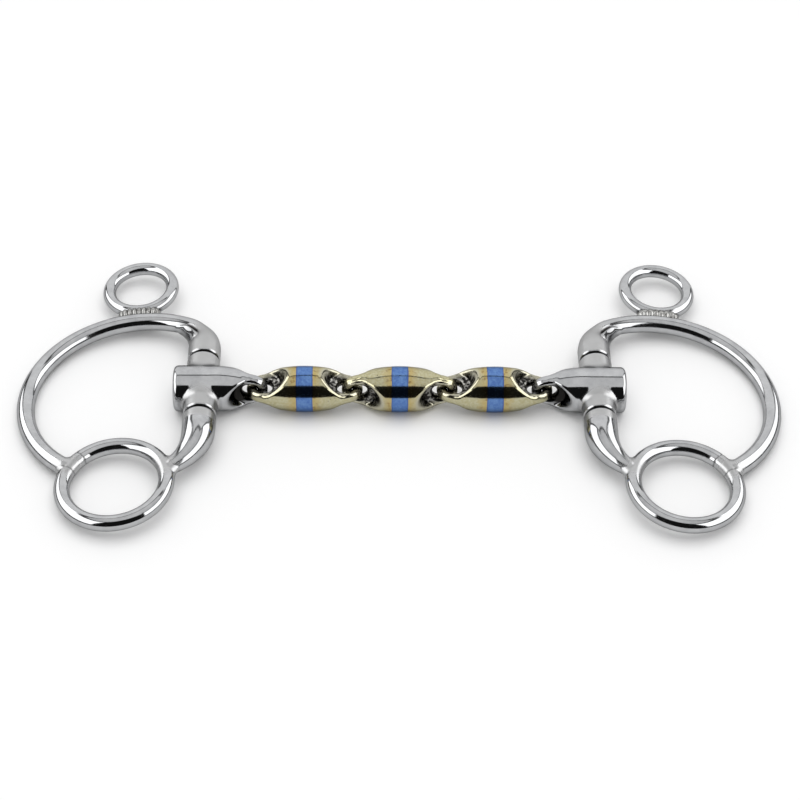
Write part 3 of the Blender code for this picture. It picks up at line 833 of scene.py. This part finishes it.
band_maker = band_tree()
for index, (side, body) in enumerate(BODY_OF_LINK.items()):
    values = {
        "Place": ((index - 1) * LINK_PITCH, MOUTH.y, MOUTH.z), "Crown": CROWN_RADIUS,
        "Girth": MOUTH_RADIUS + BAND_PROUD, "Width": BAND_WIDTH, "Depth": BAND_DEPTH,
        "Waver": BAND_WAVER, "Seed": FIRST_SEED + index, "Metal": BLUED_METAL,
    }
    item = grow(f"{side}_link_blue_band", band_maker, values)
    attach(item, body)
    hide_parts(f"{side}_link_band")
    print(item.name, len(item.data.polygons), "faces")

# %% [markdown]
# ## The barrels
# A barrel is half a link that ends in a plain cylinder with a rounded end. The hinge boss crosses it, and
# the fillet where the boss comes out of the barrel catches the light on both sides. The hinge's bore runs
# through the boss.

# %% Barrel
BARREL_EDGE = 1.6 * MM
BOSS_RADIUS = 5.7 * MM
JOINT_PLANE = 13.4 * MM
BOSS_EDGE = 0.9 * MM
BOSS_FILLET = 1.8 * MM
BORE_RADIUS = 2.8 * MM
JOINT_GAP = 0.5 * MM
GAP_SHADE_REACH = 0.35 * MM  # how far the painted shade of a joint's gap reaches over each edge
BRIGHT_RIM = 1.2  # how much of a joint's rim stays polished, in widths of its edge
BOSS_SATIN = 1.5  # how far the boss's satin runs out over the barrel, in the same widths
BARREL_STEP = 0.25 * MM

barrel_low, barrel_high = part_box("right_barrel")
BARREL_TIP = barrel_low.x - HINGE.x
BARREL_END = barrel_high.x - HINGE.x
BARREL_EYE = BARREL_TIP + EYE_RIM + HALF_BAR
BOSS_FACE = JOINT_PLANE - JOINT_GAP / 2


def rounded_block(first, second, edge):
    """Give the distance to a corner of a turned or boxed form whose edge is rounded."""
    first = first + edge
    second = second + edge
    outside = np.hypot(np.maximum(first, 0), np.maximum(second, 0))
    return outside + np.minimum(np.maximum(first, second), 0) - edge


def barrel_turned(along, hinge, up):
    """Give the distance to the barrel's turned form, without its boss and its eye."""
    out = np.hypot(hinge, up)
    middle = BARREL_TIP + LINK_TIP
    nose = turned_nose(middle - along, out)
    cylinder = rounded_block(along - BARREL_END, out - MOUTH_RADIUS, BARREL_EDGE)
    return np.where(along < middle, nose, cylinder)


def boss_field(along, hinge, up):
    """Give the distance to the hinge boss."""
    return rounded_block(np.hypot(along, up) - BOSS_RADIUS, np.abs(hinge) - BOSS_FACE, BOSS_EDGE)


def barrel_field(points):
    """The right barrel about its hinge axis, which is Y."""
    along, hinge, up = np.moveaxis(points, -1, 0)
    body = fuse(barrel_turned(along, hinge, up), boss_field(along, hinge, up), BOSS_FILLET)
    body = np.maximum(body, BORE_RADIUS - np.hypot(along, up))
    return scoop_eye(body, BARREL_EYE - along, hinge, up)


def barrel_marks(points, marks):
    """Mark the barrel's painted shade in its eye and in the gap of its joints, and its satin boss."""
    along, hinge, up = points.T
    eye = eye_shade(barrel_turned(along, hinge, up), BARREL_EYE - along, hinge, up)
    eye = eye * (along < BARREL_EYE + SCOOP_REACH + SCOOP_EDGE)
    gap = held((np.abs(hinge) - BOSS_FACE) / GAP_SHADE_REACH + 1)
    shade = np.maximum(marks[SHADE], np.maximum(eye, gap))
    satin = held(BOSS_SATIN - boss_field(along, hinge, up) / BOSS_EDGE)
    bright_rim = held((np.abs(hinge) - BOSS_FACE) / BOSS_EDGE + BRIGHT_RIM)
    return {SHADE: shade, SATIN: satin * (1 - bright_rim)}


low = (BARREL_TIP - MARGIN, -BOSS_FACE - MARGIN, -MOUTH_RADIUS - MARGIN)
high = (BARREL_END + MARGIN, BOSS_FACE + MARGIN, MOUTH_RADIUS + MARGIN)
points, quads, normals, marks = wrap(barrel_field, low, high, BARREL_STEP)
right_barrel = (points + np.array(HINGE), quads, normals, barrel_marks(points, marks))
for side, shape in (("right", right_barrel), ("left", mirrored(right_barrel))):
    item = metal_object(f"{side}_barrel_steel", shape, STEEL)
    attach(item, f"{side}_end")
    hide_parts(f"{side}_barrel")
print("barrels:", len(quads), "quads each, tip", round(BARREL_TIP / MM, 2), "mm from the hinge")

# %% [markdown]
# ## The cheeks
# A cheek is bent from round bar and welded: an elbow above the hinge that thins into the bow round a soft
# crook, a leg below it that bends into the rein ring, and the small ring on top of the bow. Two fine butt
# seams cross the rein ring. The cheek lies in a plane that droops until the bow rests on the floor. The
# field is written in that plane, with u outward from the hinge and v along it.

# %% Cheek field
BOW_RADIUS = 38.06 * MM
BOW_CENTRE = (22.6 * MM, -2.7 * MM)
BOW_WIRE = 3.1 * MM
ELBOW_RADIUS = 11.0 * MM
ELBOW_TAPER = 2.8 * MM
ELBOW_THIN = 0.68  # the share of its bend over which the elbow thins to the bow
CROOK_BALL = 5.0 * MM  # the ball in the elbow from which the fillet in its crook starts
CROOK_FILLET = 12.0 * MM
CROOK_FADE = 3.1 * MM  # from the bar's centreline to where the fillet has its full width
CROOK_LEAST = 0.05  # the share of its width that the fillet keeps outside the crook
LEG_STRAIGHT = 20.0 * MM
LEG_RADIUS = 19.5 * MM
LEG_END = 2.85 * MM
REIN_RING_WIRE = 2.7 * MM
TOP_RING_WIRE = 2.25 * MM
SEAT_DEPTH = 5.3 * MM
RING_FILLET = 3.2 * MM
RING_LEAST = 0.25  # the share of its width that this fillet keeps over the top of the ring
BAR_OVER_RING = 0.6 * MM  # how much the bow and the leg thin down where they run into the rein ring
TOP_FILLET = 1.6 * MM
RING_SEAMS = (radians(22.2), radians(45.3))  # the turns of the rein ring's two butt seams
SEAM_WIDTH = 0.4 * MM
SEAM_DEPTH = 0.14 * MM
SEAM_SHADE = 0.7
COLLAR = 4.5 * MM  # length of the satin collar on the leg
ELBOW_SATIN = (0.6, 0.95)  # the shares of the bend where the elbow's satin starts to fade and ends
CROTCH_SATIN = 0.8
CHEEK_STEP = 0.34 * MM

rein_low, rein_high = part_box("right_rein_ring")
rein_middle = (rein_low + rein_high) / 2
DROOP = atan2(HINGE.z - rein_middle.z, rein_middle.x - HINGE.x)


def ring_in_plane(node, wire):
    """Find a ring's centre in the cheek's plane and the radius of its centreline."""
    low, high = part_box(node)
    middle = (low + high) / 2 - HINGE
    return (hypot(middle.x, middle.z), middle.y), (high.y - low.y) / 2 - wire


REIN_RING, REIN_RADIUS = ring_in_plane("right_rein_ring", REIN_RING_WIRE)
TOP_RING, TOP_RADIUS = ring_in_plane("right_cheekpiece_ring", TOP_RING_WIRE)
KNUCKLE_FACE = JOINT_PLANE + JOINT_GAP / 2
ELBOW_V = BOW_CENTRE[1] + sqrt((BOW_RADIUS - ELBOW_RADIUS) ** 2 - (ELBOW_RADIUS - BOW_CENTRE[0]) ** 2)
ELBOW_TOUCH = atan2(ELBOW_V - BOW_CENTRE[1], ELBOW_RADIUS - BOW_CENTRE[0])


def meeting_turn(centre, radius, other, other_radius, side):
    """Find the turn on one circle where it meets another."""
    across = other[0] - centre[0]
    along = other[1] - centre[1]
    distance = hypot(across, along)
    share = (radius**2 + distance**2 - other_radius**2) / (2 * radius * distance)
    return atan2(along, across) + side * acos(share)


BOW_END = meeting_turn(BOW_CENTRE, BOW_RADIUS, REIN_RING, REIN_RADIUS, 1)
LEG_TOUCH = -meeting_turn((LEG_RADIUS, -LEG_STRAIGHT), LEG_RADIUS, REIN_RING, REIN_RADIUS, -1)


def ease(share):
    """Run smoothly from 0 to 1, level at both ends."""
    share = held(share)
    return share * share * (3 - 2 * share)


def from_arc(u, v, centre, radius, start, end):
    """Give each point's distance to an arc of the plane, and the share of the arc where it is nearest."""
    turn = np.arctan2(v - centre[1], u - centre[0])
    off = np.mod(turn - (start + end) / 2 + pi, 2 * pi) - pi
    share = held(0.5 + off / (end - start))
    nearest = start + share * (end - start)
    off_u = u - centre[0] - radius * np.cos(nearest)
    off_v = v - centre[1] - radius * np.sin(nearest)
    return np.hypot(off_u, off_v), share


def ring_field(u, v, w, centre, radius, wire):
    """Give the distance to a round ring in the cheek's plane."""
    return np.hypot(np.hypot(u - centre[0], v - centre[1]) - radius, w) - wire


def bow_field(u, v, w):
    """The bow: a round bar bent to most of a half circle."""
    off, _ = from_arc(u, v, BOW_CENTRE, BOW_RADIUS, ELBOW_TOUCH, BOW_END)
    return np.hypot(off, w) - BOW_WIRE


def knuckle_field(u, ahead, w, straight, radius, touch, end, taper, thin):
    """A stub on the hinge axis and a bend. It thins from a taper before the bend to a share of the bend."""
    bend = radius * (pi - touch)
    off, share = from_arc(u, ahead, (radius, straight), radius, pi, touch)
    level = np.clip(ahead, 0, straight)
    in_stub = ahead < straight
    off = np.where(in_stub, np.hypot(u, ahead - level), off)
    run = taper + np.where(in_stub, level - straight, bend * share)
    wire = BOSS_RADIUS + (end - BOSS_RADIUS) * ease(run / (taper + thin * bend))
    back = KNUCKLE_FACE - ahead
    collar = rounded_block(np.hypot(u, w) - BOSS_RADIUS, back, BOSS_EDGE)
    return np.where(back > -2 * BOSS_EDGE, collar, np.hypot(off, w) - wire)


def elbow_field(u, v, w):
    """The elbow: the knuckle above the hinge, which bends into the bow."""
    bend = (ELBOW_V, ELBOW_RADIUS, ELBOW_TOUCH)
    return knuckle_field(u, v, w, *bend, BOW_WIRE, ELBOW_TAPER, ELBOW_THIN)


def leg_field(u, v, w):
    """The leg: the knuckle under the hinge, which bends into the rein ring and thins all the way."""
    bend = (LEG_STRAIGHT, LEG_RADIUS, LEG_TOUCH)
    return knuckle_field(u, -v, w, *bend, LEG_END, 0, 1)


def crook_field(u, v, w):
    """The crook of the elbow: a wide fillet on the inner side, between a ball in the bend and the bow."""
    ball = np.sqrt(u**2 + (v - ELBOW_V) ** 2 + w**2) - CROOK_BALL
    inward = ELBOW_RADIUS - np.hypot(u - ELBOW_RADIUS, v - ELBOW_V)
    share = CROOK_LEAST + (1 - CROOK_LEAST) * ease(inward / CROOK_FADE)
    return fuse(ball, bow_field(u, v, w), CROOK_FILLET * share)


def onto_ring(bar, ring, u, v, w):
    """Weld a bar onto the rein ring from outside, with a fillet in the crotches that fades over the top."""
    past = np.hypot(u - REIN_RING[0], v - REIN_RING[1]) - REIN_RADIUS
    outside = RING_LEAST + (1 - RING_LEAST) * ease(past / REIN_RING_WIRE)
    below_top = 1 - (1 - RING_LEAST) * ease(np.abs(w) / REIN_RING_WIRE)
    thinned = overlap(bar, -past, 4 * BAR_OVER_RING)  # a soft edge takes off a quarter of its width
    return fuse(thinned, ring, RING_FILLET * outside * below_top)


def seam_nick(u, v):
    """Say how deep a point of the rein ring lies in one of the ring's two butt seams, from 0 to 1."""
    turn = np.arctan2(v - REIN_RING[1], u - REIN_RING[0])
    off = np.minimum(np.abs(turn - RING_SEAMS[0]), np.abs(turn - RING_SEAMS[1])) * REIN_RADIUS
    return held(1 - off / SEAM_WIDTH)


def cheek_field(points):
    """The whole cheek in its own plane."""
    u, v, w = np.moveaxis(points, -1, 0)
    rein_ring = ring_field(u, v, w, REIN_RING, REIN_RADIUS, REIN_RING_WIRE) + SEAM_DEPTH * seam_nick(u, v)
    top_ring = ring_field(u, v, w, TOP_RING, TOP_RADIUS, TOP_RING_WIRE)
    upper = np.minimum(np.minimum(elbow_field(u, v, w), bow_field(u, v, w)), crook_field(u, v, w))
    upper = fuse(upper, top_ring, TOP_FILLET)
    lower = onto_ring(leg_field(u, v, w), rein_ring, u, v, w)
    cheek = onto_ring(upper, lower, u, v, w)
    socket = np.maximum(np.hypot(u, w) - BORE_RADIUS, np.abs(v) - JOINT_PLANE - SEAT_DEPTH)
    return np.maximum(cheek, -socket)


def cheek_marks(points, marks):
    """Mark the painted shade in the gap of the joints, and the satin elbow, collar and crotches of the
    welded rings.
    """
    u, v, w = points.T
    at_hinge = np.hypot(u, w) < BOSS_RADIUS + BOSS_EDGE
    past_face = np.abs(v) - KNUCKLE_FACE
    gap = held(1 - past_face / GAP_SHADE_REACH) * at_hinge
    _, share = from_arc(u, v, (ELBOW_RADIUS, ELBOW_V), ELBOW_RADIUS, pi, ELBOW_TOUCH)
    fade = held((ELBOW_SATIN[1] - share) / (ELBOW_SATIN[1] - ELBOW_SATIN[0]))
    elbow = held(1 - elbow_field(u, v, w) / BOSS_EDGE) * fade
    collar = held((COLLAR - past_face) / BOSS_EDGE) * at_hinge * (v < 0)
    ring = ring_field(u, v, w, REIN_RING, REIN_RADIUS, REIN_RING_WIRE)
    bar = np.minimum(leg_field(u, v, w), bow_field(u, v, w))
    crotch = held(1.2 - np.abs(ring - bar) / RING_FILLET) * held(2 - np.minimum(ring, bar) / BOSS_EDGE)
    bright_rim = held(BRIGHT_RIM - past_face / BOSS_EDGE) * at_hinge
    satin = np.maximum(np.maximum(elbow, collar), CROTCH_SATIN * crotch) * (1 - bright_rim)
    seam = SEAM_SHADE * seam_nick(u, v) * held(1 - 2 * ring / REIN_RING_WIRE)
    return {SHADE: np.maximum(np.maximum(marks[SHADE], gap), seam), SATIN: satin}


def from_plane(vectors):
    """Turn vectors from the cheek's drooping plane into the frame's axes."""
    u, v, w = vectors.T
    return np.stack((u * cos(DROOP) + w * sin(DROOP), v, w * cos(DROOP) - u * sin(DROOP)), axis=1)


low = (-BOSS_RADIUS - MARGIN, REIN_RING[1] - REIN_RADIUS - REIN_RING_WIRE - MARGIN, -BOSS_RADIUS - MARGIN)
high = (
    BOW_CENTRE[0] + BOW_RADIUS + BOW_WIRE + MARGIN,
    TOP_RING[1] + TOP_RADIUS + TOP_RING_WIRE + MARGIN,
    BOSS_RADIUS + MARGIN,
)
points, quads, normals, marks = wrap(cheek_field, low, high, CHEEK_STEP)
marks = cheek_marks(points, marks)
right_cheek = (from_plane(points) + np.array(HINGE), quads, from_plane(normals), marks)
for side, shape in (("right", right_cheek), ("left", mirrored(right_cheek))):
    item = metal_object(f"{side}_cheek_steel", shape, STEEL)
    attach(item, f"{side}_cheek")
    nodes = ("upper_knuckle", "lower_knuckle", "bow", "cheekpiece_ring", "rein_ring")
    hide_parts(*[f"{side}_{node}" for node in nodes])
print("cheeks:", len(quads), "quads each, droop", round(degrees(DROOP), 2), "degrees")

# %% [markdown]
# ## The welds under the small rings
# The small ring is welded onto the bow with a bead of overlapping ripples, like a row of leaning coins. It
# follows the seam, so Geometry Nodes sweep a round section along an arc and let its radius rise and fall.

# %% Weld bead
WELD_LENGTH = 15.0 * MM
WELD_LIFT = 0.5 * MM  # from the bow's outer side to the bead's middle
WELD_SECTION = (2.7 * MM, 3.0 * MM)  # half its height between ring and bow, and half its thickness
WELD_RIPPLES = {"left": 9, "right": 8}
RIPPLE_DEPTH = {"left": 0.64, "right": 0.52}
WELD_TIP = 0.25  # the share of its section that is left at a bead's ends
WELD_STEPS = 240
WELD_SIDES = 24


def weld_tree():
    """Sweep a rippled bead along an arc of the cheek's plane."""
    sockets = {
        "Centre": "Vector", "Tilt": "Vector", "Seam": "Float", "Middle": "Float", "Spread": "Float",
        "Section": "Vector", "Ripples": "Float", "Depth": "Float", "Metal": "Material",
    }
    graph, given = new_tree("weld_bead", sockets)
    line = graph.node("GeometryNodeMeshLine", {"Count": WELD_STEPS, "Offset": (1.0, 0, 0)})
    share = graph.node("GeometryNodeInputIndex") / (WELD_STEPS - 1)
    turn = given["Middle"] + (share - 0.5) * given["Spread"]
    place = graph.vector(given["Seam"] * turn.maths("COSINE"), given["Seam"] * turn.maths("SINE"))
    line = graph.node("GeometryNodeSetPosition", {"Geometry": line, "Position": place})
    curve = graph.node("GeometryNodeMeshToCurve", {0: line})
    ripple = (share * given["Ripples"]) % 1.0 * 2 - 1
    round_top = (1 - (ripple * given["Depth"]) ** 2) ** 0.5
    ends = ((0.5 - abs(share - 0.5)) * given["Ripples"]).limited() ** 0.5
    size = round_top * (WELD_TIP + (1 - WELD_TIP) * ends)
    circle = {"Resolution": WELD_SIDES, "Radius": 1.0}
    section = graph.node("GeometryNodeCurvePrimitiveCircle", circle)
    section = graph.node("GeometryNodeTransform", {"Geometry": section, "Scale": given["Section"]})
    swept = {"Curve": curve, "Profile Curve": section, "Scale": size, "Fill Caps": True}
    bead = graph.node("GeometryNodeCurveToMesh", swept)
    bead = graph.node("GeometryNodeSetShadeSmooth", {0: bead})
    moved = {"Geometry": bead, "Translation": given["Centre"], "Rotation": given["Tilt"]}
    return end_tree(graph, graph.node("GeometryNodeTransform", moved), given["Metal"])


weld_maker = weld_tree()
top_turn = atan2(TOP_RING[1] - BOW_CENTRE[1], TOP_RING[0] - BOW_CENTRE[0])
seam_radius = BOW_RADIUS + BOW_WIRE + WELD_LIFT
centre = HINGE + Vector((BOW_CENTRE[0] * cos(DROOP), BOW_CENTRE[1], -BOW_CENTRE[0] * sin(DROOP)))
for side, outward in (("left", -1), ("right", 1)):
    values = {
        "Centre": (outward * centre.x, centre.y, centre.z), "Tilt": (0, outward * DROOP, 0),
        "Seam": seam_radius, "Middle": top_turn if outward > 0 else pi - top_turn,
        "Spread": WELD_LENGTH / seam_radius, "Section": (*WELD_SECTION, 1.0),
        "Ripples": WELD_RIPPLES[side], "Depth": RIPPLE_DEPTH[side], "Metal": WELD,
    }
    item = grow(f"{side}_weld_bead", weld_maker, values)
    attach(item, f"{side}_cheek")
    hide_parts(f"{side}_ring_weld")
    print(item.name, len(item.data.polygons), "faces")

# %% [markdown]
# ## The spindles
# The hinge's spindles are hidden in their bores. They keep their imported shape and only take the steel.

# %% Spindles
for side in ("left", "right"):
    spindle = frame["nodes"][f"{side}_spindle"]
    spindle.data.materials.clear()
    spindle.data.materials.append(STEEL)
